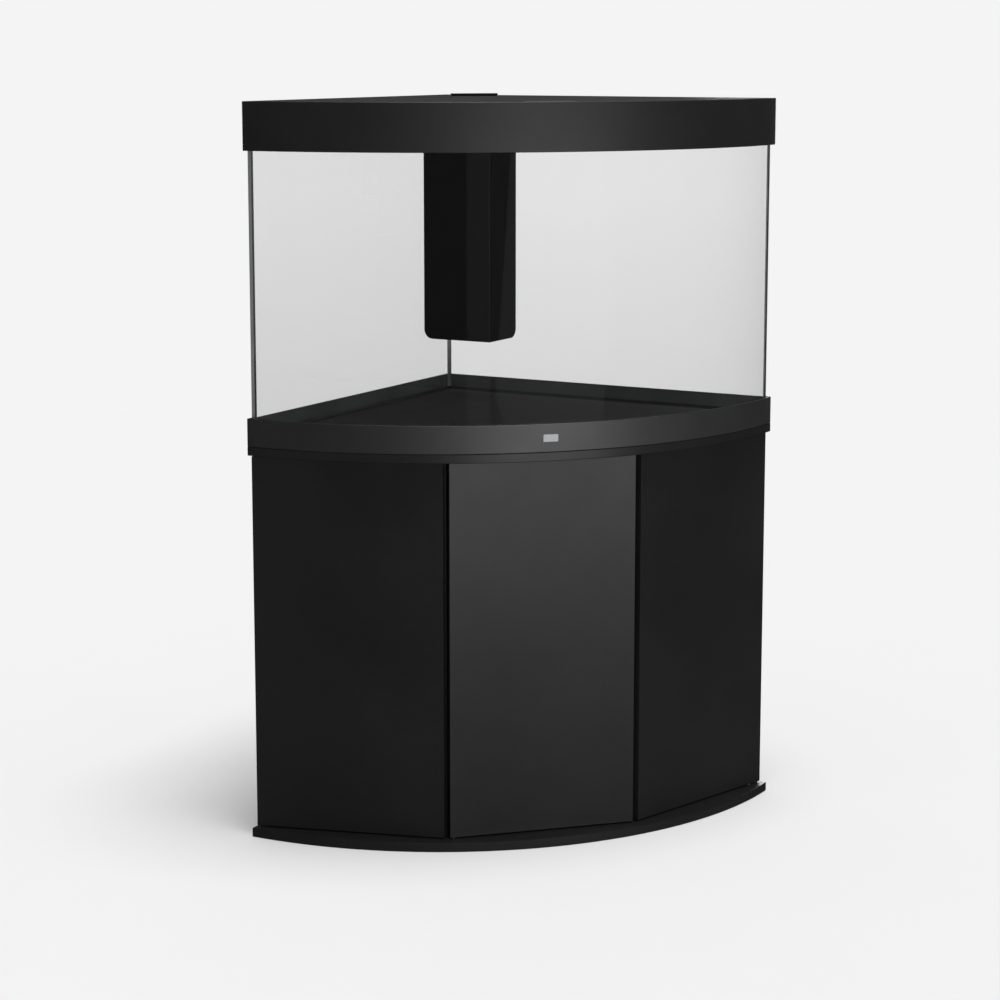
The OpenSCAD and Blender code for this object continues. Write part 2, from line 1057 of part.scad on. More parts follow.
module filter_housing() {
    outlet_hole_r = pipe_r + 0.5;
    color(DARK)
        difference() {
            union() {
                difference() {
                    filter_block(0);
                    filter_block(filter_wall);
                }
                // The wall between the media and the pump is open at its foot
                in_filter()
                    translate([CUT, divider_y, filter_foot + filter_wall + divider_gap])
                        cube([filter_wid - 2 * CUT, filter_wall, filter_h - filter_wall - divider_gap - 40]);
            }
            in_corner()
                translate([0, 0, filter_top])
                    cube([3 * filter_len, 3 * filter_len, 10]);
            // Upper intake
            for (i = [0 : slot_count - 1])
                in_filter()
                    translate([filter_wid - filter_wall - CUT, 14 + i * slot_pitch, filter_top - 12 - slot_h])
                        cube([filter_wall + 2 * CUT, slot_w, slot_h]);
            // Lower intake
            for (i = [0 : slot_count - 2])
                in_filter()
                    translate([26, 28 + i * slot_pitch, filter_foot - CUT])
                        cube([60, slot_w, filter_wall + 2 * CUT]);
            // Hole that the outlet pipe leaves through
            in_corner()
                translate([filter_x + filter_wid - filter_wall - CUT, chamber_y, pipe_top])
                    rotate([0, 90, 0])
                        cylinder(r = outlet_hole_r, h = filter_wall + 2 * CUT);
        }
}

// Silicone pads that bond the box to the two rear panes
module filter_pads() {
    pad_r = 14;
    color([0.2, 0.2, 0.2])
        for (z = [filter_foot + 70, filter_top - 70]) {
            in_corner()
                translate([pane_inner, filter_y + filter_len / 2, z])
                    rotate([0, 90, 0])
                        cylinder(r = pad_r, h = filter_x - pane_inner);
            in_corner()
                translate([filter_x + filter_wid / 2, filter_y, z])
                    rotate([90, 0, 0])
                        cylinder(r = pad_r, h = filter_y - pane_inner);
        }
}

module basket(z) {
    grid_pitch = 12;
    grid_hole = 7;
    color(DARK)
        in_filter()
            translate([filter_wall + basket_gap, filter_wall + basket_gap, z])
                difference() {
                    cube([basket_wid, basket_len, basket_h]);
                    translate([basket_wall, basket_wall, basket_wall])
                        cube([basket_wid - 2 * basket_wall, basket_len - 2 * basket_wall, basket_h]);
                    for (x = [1 : floor((basket_wid - grid_pitch) / grid_pitch)])
                        for (y = [1 : floor((basket_len - grid_pitch) / grid_pitch)])
                            translate([x * grid_pitch - grid_hole / 2 + 3, y * grid_pitch - grid_hole / 2 + 3, -CUT])
                                cube([grid_hole, grid_hole, basket_wall + 2 * CUT]);
                }
}

module lower_basket() {
    basket(lower_basket_z);
}

module upper_basket() {
    basket(upper_basket_z);
}

// A block that fills a basket from one height to another
module media(z, h) {
    room = basket_wall + 1;
    in_filter()
        translate([filter_wall + basket_gap + room, filter_wall + basket_gap + room, z])
            cube([basket_wid - 2 * room, basket_len - 2 * room, h]);
}

module ceramic_media() {
    color([0.85, 0.82, 0.76]) media(lower_basket_z + basket_wall, basket_h - 20);
}

module filter_sponge() {
    color([0.10, 0.25, 0.55]) media(upper_basket_z + basket_wall, basket_h - 52);
}

module filter_floss() {
    color("white") media(upper_basket_z + basket_wall + basket_h - 50, 44);
}

// ---- Pump ---------------------------------------------------------------------------------

module at_pump() {
    in_corner() translate([pump_x, chamber_y, pump_z]) children();
}

module pump_body() {
    chamber_z = pump_h - cap_t - chamber_h;
    bore_z = 14;
    inlet = [3, 20, 9];
    color(PLASTIC)
        at_pump()
            difference() {
                cylinder(r = pump_r, h = pump_h);
                translate([0, 0, bore_z]) cylinder(r = rotor_bore_r, h = chamber_z - bore_z + CUT);
                translate([0, 0, chamber_z]) cylinder(r = chamber_r, h = chamber_h);
                translate([0, 0, bore_z - 4]) cylinder(r = shaft_r, h = 5);
                translate([0, 0, pump_h - cap_t - CUT]) cylinder(r = shaft_r, h = 3);
                translate([pipe_off, 0, pump_h - cap_t - CUT]) cylinder(r = pipe_bore_r, h = cap_t + 2 * CUT);
                for (turn = [100 : 20 : 260])
                    rotate([0, 0, turn])
                        translate([chamber_r - CUT, -inlet[0] / 2, chamber_z + 2])
                            cube([pump_r, inlet[0], inlet[2]]);
            }
}

module impeller_shaft() {
    color(NYLON)
        at_pump()
            translate([0, 0, 10]) cylinder(r = shaft_r, h = pump_h - cap_t - 10 + 2);
}

module pump_impeller() {
    magnet_z = 15;
    chamber_z = pump_h - cap_t - chamber_h;
    color([0.3, 0.3, 0.35])
        at_pump()
            difference() {
                union() {
                    translate([0, 0, magnet_z]) cylinder(r = rotor_r, h = chamber_z - magnet_z + 2);
                    for (turn = [0 : 60 : 300])
                        rotate([0, 0, turn])
                            translate([0, -vane_t / 2, chamber_z + 1])
                                cube([vane_r, vane_t, vane_h]);
                    translate([0, 0, chamber_z + 1]) cylinder(r = 4, h = vane_h);
                }
                translate([0, 0, magnet_z - CUT]) cylinder(r = shaft_r + running_gap, h = pump_h);
            }
}

module outlet_pipe() {
    rise = pipe_top - pump_z - pump_h;
    run = filter_x + filter_wid + pipe_out - pump_x - pipe_off;
    color(PLASTIC)
        at_pump()
            translate([pipe_off, 0, pump_h])
                difference() {
                    union() {
                        cylinder(r = pipe_r, h = rise);
                        translate([0, 0, rise]) sphere(r = pipe_r);
                        translate([0, 0, rise]) rotate([0, 90, 0]) cylinder(r = pipe_r, h = run);
                    }
                    translate([0, 0, -CUT]) cylinder(r = pipe_bore_r, h = rise + CUT);
                    translate([0, 0, rise]) sphere(r = pipe_bore_r);
                    translate([0, 0, rise]) rotate([0, 90, 0]) cylinder(r = pipe_bore_r, h = run + CUT);
                }
}

// The nozzle's sleeve turns on the end of the outlet pipe; its mouth points down at an angle
module outlet_nozzle() {
    sleeve_x = filter_x + filter_wid + nozzle_start;
    mouth_bore_r = 6;
    mouth_r = 8;
    mouth_x = nozzle_len + 1;
    color(PLASTIC)
        in_corner()
            translate([sleeve_x, chamber_y, pipe_top])
                difference() {
                    union() {
                        rotate([0, 90, 0]) cylinder(r = nozzle_r, h = nozzle_len);
                        translate([nozzle_len, 0, 0]) sphere(r = mouth_r);
                        translate([mouth_x - 1, 0, 0])
                            rotate([0, 90 + nozzle_bend, 0])
                                cylinder(r = mouth_r, h = nozzle_reach);
                        translate([nozzle_len - 3, 0, 0])
                            rotate([0, 90, 0])
                                cylinder(r = nozzle_r, h = 3);
                    }
                    translate([-CUT, 0, 0]) rotate([0, 90, 0]) cylinder(r = pipe_r + running_gap, h = pipe_out - nozzle_start + 2 * CUT);
                    translate([nozzle_len, 0, 0]) sphere(r = mouth_bore_r);
                    translate([nozzle_len, 0, 0])
                        rotate([0, 90 + nozzle_bend, 0])
                            cylinder(r = mouth_bore_r, h = nozzle_reach + CUT);
                }
}

// ---- Heater -------------------------------------------------------------------------------

module at_heater(z) {
    in_corner() translate([heater_x, chamber_y, z]) children();
}

module heater_tube() {
    color([0.25, 0.3, 0.3, 0.8])
        at_heater(heater_z)
            union() {
                cylinder(r = heater_r, h = heater_len);
                sphere(r = heater_r);
                translate([0, 0, heater_len]) cylinder(r = heater_cap_r, h = heater_cap_h);
            }
}

module heater_clips() {
    clip_h = 10;
    clip_t = 3;
    reach = heater_x - filter_x - filter_wall;
    color(DARK)
        for (z = [heater_z + 60, heater_z + heater_len - 60])
            at_heater(z)
                difference() {
                    union() {
                        cylinder(r = heater_r + clip_t, h = clip_h);
                        translate([-reach, -4, 0]) cube([reach, 8, clip_h]);
                    }
                    translate([0, 0, -CUT]) cylinder(r = heater_r, h = clip_h + 2 * CUT);
                }
}

module heater_dial() {
    notches = 12;
    color([0.7, 0.1, 0.1])
        at_heater(heater_z + heater_len + heater_cap_h + 0.4)
            difference() {
                union() {
                    cylinder(r = dial_r, h = dial_h);
                    translate([-1, 0, dial_h]) cube([2, dial_r - 1, 1.5]);
                }
                for (i = [0 : notches - 1])
                    rotate([0, 0, (i + 0.5) * 360 / notches])
                        translate([dial_r + 0.5, 0, -CUT])
                            cylinder(r = 1.6, h = dial_h + 2 * CUT);
            }
}

base_board();
left_side_wall();
right_side_wall();
left_partition();
right_partition();
top_board();
shelf();
shelf_pins();
wood_dowels();
cam_locks();
cam_bolts();
pivot_bushes();
catch_magnets();
left_door();
middle_door();
right_door();
left_door_pins();
middle_door_pins();
right_door_pins();
left_strike_plate();
middle_strike_plate();
right_strike_plate();
lower_frame();
name_plaque();
floor_glass();
rear_left_glass();
rear_right_glass();
front_glass();
floor_seal();
rear_corner_seal();
left_end_seal();
right_end_seal();
upper_frame();
light_housing();
control_gear();
front_light_tube();
rear_light_tube();
tube_sockets();
splash_cover();
cable_gland();
flap_hinge_pins();
front_flap();
rear_flap();
filter_housing();
filter_pads();
lower_basket();
upper_basket();
ceramic_media();
filter_sponge();
filter_floss();
pump_body();
impeller_shaft();
pump_impeller();
outlet_pipe();
outlet_nozzle();
heater_tube();
heater_clips();
heater_dial();
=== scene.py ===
"""Looks of a corner aquarium on its cabinet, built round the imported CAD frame.
Metres; +Z up, -Y to the front."""

import itertools
import json
import math
import random

import bmesh
import bpy
from mathutils import Matrix, Vector, noise

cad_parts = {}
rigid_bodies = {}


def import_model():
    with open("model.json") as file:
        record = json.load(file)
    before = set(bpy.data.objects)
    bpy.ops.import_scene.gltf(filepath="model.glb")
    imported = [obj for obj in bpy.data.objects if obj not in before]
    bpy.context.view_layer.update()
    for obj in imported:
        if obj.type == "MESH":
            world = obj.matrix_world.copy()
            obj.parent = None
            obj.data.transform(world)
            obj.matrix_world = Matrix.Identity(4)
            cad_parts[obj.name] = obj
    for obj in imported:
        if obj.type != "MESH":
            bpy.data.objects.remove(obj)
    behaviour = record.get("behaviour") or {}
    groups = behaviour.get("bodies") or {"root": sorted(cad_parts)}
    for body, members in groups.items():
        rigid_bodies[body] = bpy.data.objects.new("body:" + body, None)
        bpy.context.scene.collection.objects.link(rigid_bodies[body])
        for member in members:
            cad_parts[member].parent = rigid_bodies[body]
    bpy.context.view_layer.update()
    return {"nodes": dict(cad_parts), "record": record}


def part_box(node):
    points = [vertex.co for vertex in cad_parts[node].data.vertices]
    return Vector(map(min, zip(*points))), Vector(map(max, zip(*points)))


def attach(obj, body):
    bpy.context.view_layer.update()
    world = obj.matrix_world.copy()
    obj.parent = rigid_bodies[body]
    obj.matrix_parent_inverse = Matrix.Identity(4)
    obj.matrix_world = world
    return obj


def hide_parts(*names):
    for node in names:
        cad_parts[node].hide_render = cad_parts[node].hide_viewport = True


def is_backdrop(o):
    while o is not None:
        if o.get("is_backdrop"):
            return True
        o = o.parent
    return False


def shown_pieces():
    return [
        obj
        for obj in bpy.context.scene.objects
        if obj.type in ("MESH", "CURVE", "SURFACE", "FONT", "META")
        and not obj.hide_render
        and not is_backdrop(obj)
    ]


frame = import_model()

scene = bpy.context.scene
record = frame["record"]
NODES = frame["nodes"]
BODY = {n: b for b, names in record["behaviour"]["bodies"].items() for n in names}
MM = 0.001

# The two walls of the room corner: X' runs along the left one and Y' along the right one
back_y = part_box("lower_frame")[1].y
CORNER = Matrix.Translation((0, back_y, 0)) @ Matrix.Rotation(math.radians(-135), 4, "Z")


def corner_box(node):
    """A node's lowest and highest corners, measured along the two walls."""
    inverse = CORNER.inverted()
    points = [inverse @ v.co for v in NODES[node].data.vertices]
    return (
        Vector([min(p[i] for p in points) for i in range(3)]),
        Vector([max(p[i] for p in points) for i in range(3)]),
    )


# ---- Materials ------------------------------------------------------------------------------


class Graph:
    """A material's node tree, filled by short calls."""

    def __init__(self, name):
        self.material = bpy.data.materials.new(name)
        self.material.use_nodes = True
        self.tree = self.material.node_tree
        self.tree.nodes.clear()
        self.output = self.node("OutputMaterial")
        self.shader = self.node("BsdfPrincipled")
        self.coords = self.node("TexCoord")

    def node(self, kind, inputs=None, **properties):
        made = self.tree.nodes.new("ShaderNode" + kind)
        for key, value in properties.items():
            setattr(made, key, value)
        for key, value in (inputs or {}).items():
            self.put(made.inputs[key], value)
        return made

    def put(self, socket, value):
        if isinstance(value, bpy.types.NodeSocket):
            self.tree.links.new(value, socket)
        else:
            socket.default_value = value

    def set(self, **sockets):
        for key, value in sockets.items():
            self.put(self.shader.inputs[key.replace("_", " ")], value)

    def at(self, stretch=(1, 1, 1)):
        """The point on the piece, in metres, stretched for a directional pattern."""
        place = self.node("Mapping", {"Vector": self.coords.outputs["Object"], "Scale": stretch})
        return place.outputs[0]

    def noise(self, scale, detail=3.0, rough=0.55, where=None, distort=0.0):
        made = self.node(
            "TexNoise",
            {
                "Vector": where or self.at(),
                "Scale": scale,
                "Detail": detail,
                "Roughness": rough,
                "Distortion": distort,
            },
        )
        return made.outputs["Fac"]

    def cells(self, scale):
        made = self.node("TexVoronoi", {"Vector": self.at(), "Scale": scale}, feature="F1")
        return made.outputs["Distance"]

    def remap(self, value, low, high, to_low, to_high):
        made = self.node(
            "MapRange",
            {
                "Value": value,
                "From Min": low,
                "From Max": high,
                "To Min": to_low,
                "To Max": to_high,
            },
        )
        return made.outputs[0]

    def maths(self, operation, a, b):
        made = self.node("Math", operation=operation)
        self.put(made.inputs[0], a)
        self.put(made.inputs[1], b)
        return made.outputs[0]

    def blend(self, factor, a, b):
        made = self.node("Mix", data_type="RGBA")
        self.put(made.inputs[0], factor)
        self.put(made.inputs[6], a)
        self.put(made.inputs[7], b)
        return made.outputs[2]

    def bump(self, height, depth, under=None):
        made = self.node("Bump", {"Height": height, "Distance": depth, "Strength": 1.0})
        if under is not None:
            self.put(made.inputs["Normal"], under)
        return made.outputs[0]

    def done(self, surface=None):
        self.put(self.output.inputs["Surface"], surface or self.shader.outputs[0])
        return self.material


def shade(colour, factor):
    return (*[min(1.0, c * factor) for c in colour[:3]], 1.0)


DUST_GREY = (0.30, 0.29, 0.28, 1)
GLASS_IOR = 1.5


def solid(
    name,
    colour,
    rough,
    level=0.5,
    patch=(5.0, 0.15),
    grain=(900.0, 0.10, 0.05 * MM),
    smudge=0.06,
    stretch=(1, 1, 1),
    dust=0.0,
    metallic=0.0,
):
    """An opaque finish with smudges in its gloss, and dust on what faces up.
    patch is (scale, swing) of its broad patches, and grain (scale, swing, depth) of its relief."""
    patch_scale, patch_swing = patch
    grain_scale, grain_swing, grain_depth = grain
    g = Graph(name)
    where = g.at(stretch)
    patches = g.noise(patch_scale, 4.0)
    fine = g.noise(grain_scale, 2.0, where=where)
    amount = g.maths("MULTIPLY_ADD", g.remap(patches, 0.3, 0.7, -1, 1), patch_swing)
    amount.node.inputs[2].default_value = 0.5
    amount = g.maths("ADD", amount, g.remap(fine, 0.25, 0.75, -grain_swing, grain_swing))
    tone = g.blend(amount, shade(colour, 0.55), shade(colour, 1.45))
    gloss = g.remap(g.noise(patch_scale * 3.1, 5.0, 0.65), 0.3, 0.7, rough - smudge, rough + smudge)
    if dust:
        up = g.node("SeparateXYZ", {0: g.coords.outputs["Normal"]}).outputs[2]
        settled = g.remap(g.noise(38.0, 6.0, 0.7), 0.35, 0.75, 0, dust)
        mask = g.maths("MULTIPLY", g.remap(up, 0.75, 0.98, 0, 1), settled)
        tone = g.blend(mask, tone, DUST_GREY)
        gloss = g.maths("ADD", gloss, g.maths("MULTIPLY", mask, 0.5))
    g.set(
        Base_Color=tone,
        Roughness=gloss,
        Metallic=metallic,
        Specular_IOR_Level=level,
        Normal=g.bump(fine, grain_depth),
    )
    return g.done()


def clear(name, tint, shadow, rough=0.02, ripple=0.03 * MM, level=0.5, painted_shading=None):
    """Clear glass or plastic with faint smears, which lamps shine straight through. The last
    argument is (foot, head, shade factor at the foot) of a painted shade that darkens the colour at
    the foot and fades out towards the head."""
    g = Graph(name)
    smear = g.noise(9.0, 5.0, 0.65, where=g.at((1, 1, 0.35)), distort=0.6)
    colour = g.blend(smear, shade(tint, 0.985), shade(tint, 1.01))
    if painted_shading:
        # Painted shade: the colour grows darker from the head down to the foot
        height = g.node("SeparateXYZ", {0: g.coords.outputs["Object"]}).outputs[2]
        foot, head, foot_shade = painted_shading
        colour = g.blend(g.remap(height, foot, head, 0, 1), shade(tint, foot_shade), colour)
    g.set(
        Base_Color=colour,
        Specular_IOR_Level=level,
        Roughness=g.remap(smear, 0.45, 0.8, 0.0, rough),
        IOR=GLASS_IOR,
        Transmission_Weight=1.0,
        Normal=g.bump(g.noise(2.5, 2.0), ripple),
    )
    through = g.node("BsdfTransparent", {"Color": (*shadow, 1.0)})
    ray = g.node("LightPath").outputs["Is Shadow Ray"]
    mix = g.node("MixShader", {0: ray, 1: g.shader.outputs[0], 2: through.outputs[0]})
    return g.done(mix.outputs[0])


def foam(name, colour, pores, depth):
    """Open foam: round pores, with painted shade that darkens each pore towards its middle."""
    g = Graph(name)
    pore_with_painted_shade = g.cells(pores)
    fine = g.noise(pores * 2.2, 3.0)
    # Painted shade: each pore darkens towards its middle, down to a quarter of the foam's colour
    tone = g.blend(g.remap(pore_with_painted_shade, 0.1, 0.7, 0, 1), shade(colour, 0.25), shade(colour, 1.25))
    tone = g.blend(g.noise(14.0, 4.0), tone, shade(colour, 0.9))
    g.set(
        Base_Color=tone,
        Roughness=g.remap(fine, 0.3, 0.7, 0.75, 0.98),
        Specular_IOR_Level=0.15,
        Normal=g.bump(fine, depth * 0.3, under=g.bump(pore_with_painted_shade, depth)),
    )
    return g.done()


def wood(name, colour):
    """Plain turned hardwood, with its fibres along the dowel."""
    g = Graph(name)
    fibre = g.noise(300.0, 4.0, where=g.at((1, 1, 0.06)))
    g.set(
        Base_Color=g.blend(fibre, shade(colour, 0.6), shade(colour, 1.25)),
        Roughness=g.remap(fibre, 0.3, 0.7, 0.5, 0.7),
        Normal=g.bump(fibre, 0.15 * MM),
    )
    return g.done()


BLACK = (0.0095, 0.0095, 0.0098)
board = solid(
    "melamine_board", BLACK, 0.36,
    level=0.12, patch=(3.5, 0.18), grain=(1100.0, 0.30, 0.04 * MM), smudge=0.02, dust=0.006,
)
board_edge = solid(
    "board_edge_band", (0.0068, 0.0068, 0.0071), 0.5,
    level=0.08, patch=(22.0, 0.3), grain=(1500.0, 0.3, 0.05 * MM), smudge=0.09,
)
plastic = solid(
    "satin_plastic", (0.0102, 0.0102, 0.0104), 0.46,
    level=0.24, patch=(6.0, 0.15), grain=(1700.0, 0.25, 0.03 * MM), smudge=0.02, dust=0.006,
)
plastic_edge = solid(
    "satin_plastic_edge", (0.012, 0.012, 0.0122), 0.36,
    level=0.24, patch=(40.0, 0.35), grain=(1700.0, 0.25, 0.03 * MM), smudge=0.08,
)
# Painted light: a lighter, bluish copy of the satin plastic for the frame's faces inside the tank
plastic_inside_painted_light = solid(
    "satin_plastic_with_water_film", (0.0350, 0.0372, 0.0386), 0.5,
    level=0.3, patch=(9.0, 0.3), grain=(900.0, 0.25, 0.03 * MM), smudge=0.06,
)
filter_plastic = solid(
    "smooth_plastic", (0.0022, 0.0022, 0.0023), 0.36,
    level=0.15, patch=(9.0, 0.2), grain=(2400.0, 0.2, 0.012 * MM), smudge=0.02,
)
pump_plastic = solid(
    "pump_plastic", (0.010, 0.0102, 0.0108), 0.38,
    level=0.35, patch=(20.0, 0.2), grain=(1900.0, 0.3, 0.03 * MM),
)
silicone = solid(
    "black_silicone", (0.010, 0.010, 0.0102), 0.34,
    level=0.3, patch=(30.0, 0.25), grain=(420.0, 0.25, 0.12 * MM), smudge=0.1,
)
seam_grey = solid(
    "cloudy_silicone", (0.24, 0.242, 0.244), 0.34,
    level=0.3, patch=(30.0, 0.15), grain=(420.0, 0.15, 0.12 * MM), smudge=0.1,
)
steel = solid(
    "zinc_plated_steel", (0.58, 0.585, 0.60), 0.32,
    patch=(60.0, 0.12), grain=(2600.0, 0.12, 0.01 * MM), smudge=0.1, stretch=(1, 1, 0.05),
    metallic=1.0,
)
nylon = solid(
    "white_nylon", (0.70, 0.69, 0.65), 0.45,
    level=0.4, patch=(25.0, 0.06), grain=(1500.0, 0.05, 0.02 * MM),
)
beech = wood("beech", (0.55, 0.38, 0.21))
plaque_face = solid(
    "plaque_face", (0.26, 0.264, 0.272), 0.5,
    level=0.2, patch=(120.0, 0.1), grain=(6000.0, 0.12, 0.01 * MM), stretch=(0.05, 1, 1),
)
ceramic = solid(
    "fired_clay", (0.66, 0.60, 0.49), 0.85,
    level=0.2, patch=(70.0, 0.35), grain=(900.0, 0.35, 0.25 * MM),
)
rotor = solid(
    "rotor_plastic", (0.06, 0.065, 0.085), 0.4,
    level=0.4, patch=(60.0, 0.2), grain=(2200.0, 0.2, 0.02 * MM),
)
dial_red = solid(
    "red_plastic", (0.40, 0.022, 0.015), 0.36,
    level=0.45, patch=(70.0, 0.15), grain=(2500.0, 0.1, 0.015 * MM),
)
lamp_glass = solid(
    "frosted_lamp_glass", (0.82, 0.84, 0.84), 0.3,
    level=0.5, patch=(12.0, 0.04), grain=(3000.0, 0.03, 0.005 * MM),
)
glass_low, glass_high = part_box("front_glass")
# The panes' painted shade fades out 0.15 m below their top
painted_shade_top = glass_high.z - 0.15
pane = clear(
    "clear_float_glass",
    (0.992, 0.993, 0.993),
    (0.94, 0.94, 0.94),
    rough=0.0015,
    ripple=0.001 * MM,
    level=0.16,
    painted_shading=(glass_low.z, painted_shade_top, 0.925),
)
pane_edge = clear("polished_glass_edge", (0.66, 0.70, 0.69), (0.75, 0.78, 0.78), rough=0.12)
ground_edge = solid(
    "ground_glass_edge", (0.20, 0.214, 0.21), 0.6,
    level=0.2, patch=(20.0, 0.15), grain=(1500.0, 0.15, 0.02 * MM),
)
acrylic = clear("clear_acrylic", (0.97, 0.975, 0.98), (0.95, 0.95, 0.95), rough=0.08)
heater_glass = clear("heater_tube_glass", (0.62, 0.66, 0.66), (0.7, 0.72, 0.72), rough=0.04)
sponge_blue = foam("filter_foam", (0.035, 0.12, 0.42), 620.0, 1.2 * MM)
floss_white = foam("filter_fibre", (0.80, 0.80, 0.77), 260.0, 1.0 * MM)
floor_black = solid(
    "floor_glass_printed_black", (0.0250, 0.0250, 0.0256), 0.4,
    level=0.15, patch=(4.0, 0.08), grain=(700.0, 0.1, 0.005 * MM), smudge=0.02, dust=0.004,
)

BY_SLOT = {
    "black_board": board,
    "black_plastic": plastic,
    "filter_plastic": filter_plastic,
    "steel": steel,
    "beech": beech,
    "nylon": nylon,
    "clear_glass": pane,
    "black_glass": floor_black,
    "black_silicone": silicone,
    "plaque_grey": plaque_face,
    "lamp_white": lamp_glass,
    "clear_plastic": acrylic,
    "ceramic": ceramic,
    "blue_foam": sponge_blue,
    "white_floss": floss_white,
    "rotor_grey": rotor,
    "heater_glass": heater_glass,
    "dial_red": dial_red,
}
SLOT = {s["node"]: s["material_slot"] for s in record["subparts"]}
for node, cad in NODES.items():
    cad.data.materials.clear()
    cad.data.materials.append(BY_SLOT[SLOT[node]])


# ---- Pieces ---------------------------------------------------------------------------------


def piece(name, mesh, node, materials, replaced=()):
    """A finished piece: it rides with node's body, takes the given materials, and stands for
    the replaced nodes."""
    made = bpy.data.objects.new(name, mesh)
    scene.collection.objects.link(made)
    for m in materials:
        mesh.materials.append(m)
    mesh.shade_smooth()
    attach(made, BODY[node])
    if replaced:
        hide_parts(*replaced)
    return made


def mesh_of(bm, name):
    bmesh.ops.recalc_face_normals(bm, faces=bm.faces)
    mesh = bpy.data.meshes.new(name)
    bm.to_mesh(mesh)
    bm.free()
    return mesh


MERGE = 1e-6  # vertices closer than this are one
FLAT_ANGLE = math.radians(0.5)  # faces that meet at less than this are one flat face
EDGE_ANGLE = math.radians(35)  # edges sharper than this are rounded


def clean_copy(node):
    """The node's own shape as a bmesh, with its flat faces whole."""
    bm = bmesh.new()
    bm.from_mesh(NODES[node].data)
    bmesh.ops.remove_doubles(bm, verts=bm.verts, dist=MERGE)
    bmesh.ops.dissolve_limit(bm, angle_limit=FLAT_ANGLE, verts=bm.verts, edges=bm.edges)
    for f in bm.faces:
        f.material_index = 0
    return bm


def round_edges(obj, width, segments=3, edge_slot=0):
    bevel = obj.modifiers.new("edges", "BEVEL")
    bevel.width = width
    bevel.segments = segments
    bevel.limit_method = "ANGLE"
    bevel.angle_limit = EDGE_ANGLE
    bevel.use_clamp_overlap = False
    bevel.material = edge_slot
    even_normals(obj)
    return obj


def even_normals(obj):
    normals = obj.modifiers.new("normals", "WEIGHTED_NORMAL")
    normals.keep_sharp = False
    normals.weight = 80
    return obj


def finished(node, width, face, edge=None, segments=3):
    """The node's shape with worked edges, which may have their own finish."""
    materials = [face] if edge is None else [face, edge]
    made = piece(node + "_finished", mesh_of(clean_copy(node), node), node, materials, [node])
    return round_edges(made, width, segments, len(materials) - 1)


def lathe(bm, profile, place, segments=48):
    """Adds a turned shape: profile is a run of (radius, height), along place's Z."""
    rings = []
    for radius, height in profile:
        if radius < 1e-7:
            rings.append([bm.verts.new(place @ Vector((0, 0, height)))])
            continue
        turns = [2 * math.pi * i / segments for i in range(segments)]
        ring = [Vector((radius * math.cos(t), radius * math.sin(t), height)) for t in turns]
        rings.append([bm.verts.new(place @ point) for point in ring])
    for low, high in zip(rings, rings[1:]):
        for i in range(segments):
            j = (i + 1) % segments
            loop = [low[i % len(low)], low[j % len(low)], high[j % len(high)], high[i % len(high)]]
            loop = list(dict.fromkeys(loop))
            if len(loop) > 2:
                bm.faces.new(loop)


def rounded_profile(parts, r):
    """A turned solid's outline from (radius, height) corners, each rounded by r."""
    points = []
    for i, (radius, height) in enumerate(parts):
        here = Vector((radius, height))
        if i in (0, len(parts) - 1):
            points.append(here)
            continue
        before, after = Vector(parts[i - 1]) - here, Vector(parts[i + 1]) - here
        size = min(r, before.length * 0.45, after.length * 0.45)
        a, b = here + before.normalized() * size, here + after.normalized() * size
        for t in (0, 0.33, 0.67, 1):
            points.append(a * (1 - t) ** 2 + here * 2 * t * (1 - t) + b * t**2)
    return [tuple(p) for p in points]


def prism(bm, outline, place, length):
    """Adds an outline in place's XY plane, drawn out along its Z."""
    low = [bm.verts.new(place @ Vector((x, y, 0))) for x, y in outline]
    high = [bm.verts.new(place @ Vector((x, y, length))) for x, y in outline]
    bm.faces.new(low[::-1])
    bm.faces.new(high)
    for i in range(len(outline)):
        j = (i + 1) % len(outline)
        bm.faces.new([low[i], low[j], high[j], high[i]])


def tube(bm, points, radius, segments=10):
    """Adds a round wire along points, closed at both ends."""
    rings = []
    side = Vector((0, 0, 1))
    for i, p in enumerate(points):
        along = (points[min(i + 1, len(points) - 1)] - points[max(i - 1, 0)]).normalized()
        if abs(along.dot(side)) > 0.95:
            side = Vector((1, 0, 0))
        across = along.cross(side).normalized()
        side = across.cross(along)
        turns = [2 * math.pi * k / segments for k in range(segments)]
        ring = [p + (across * math.cos(t) + side * math.sin(t)) * radius for t in turns]
        rings.append([bm.verts.new(point) for point in ring])
    for a, b in zip(rings, rings[1:]):
        for k in range(segments):
            m = (k + 1) % segments
            bm.faces.new([a[k], a[m], b[m], b[k]])
    bm.faces.new(rings[0][::-1])
    bm.faces.new(rings[-1])


# Cabinet: boards with thin edge bands, and their fasteners
for node in ("base_board", "top_board"):
    finished(node, 1.0 * MM, board, board_edge)
for node in ("left_side_wall", "right_side_wall", "left_partition", "right_partition", "shelf"):
    finished(node, 0.7 * MM, board, board_edge, 2)
for node in ("left_door", "middle_door", "right_door"):
    finished(node, 0.9 * MM, board, board_edge)
finished("cam_locks", 0.25 * MM, steel, segments=2)
finished("pivot_bushes", 0.3 * MM, filter_plastic, segments=2)
finished("catch_magnets", 0.8 * MM, filter_plastic, segments=2)
for node in ("left_strike_plate", "middle_strike_plate", "right_strike_plate"):
    finished(node, 0.25 * MM, steel, segments=2)
door_pins = ("left_door_pins", "middle_door_pins", "right_door_pins")
for node in (*door_pins, "cam_bolts", "shelf_pins", "flap_hinge_pins"):
    finished(node, 0.4 * MM, steel, segments=2)
finished("wood_dowels", 0.8 * MM, beech, segments=2)

# Tank: moulded frames, polished panes and silicone


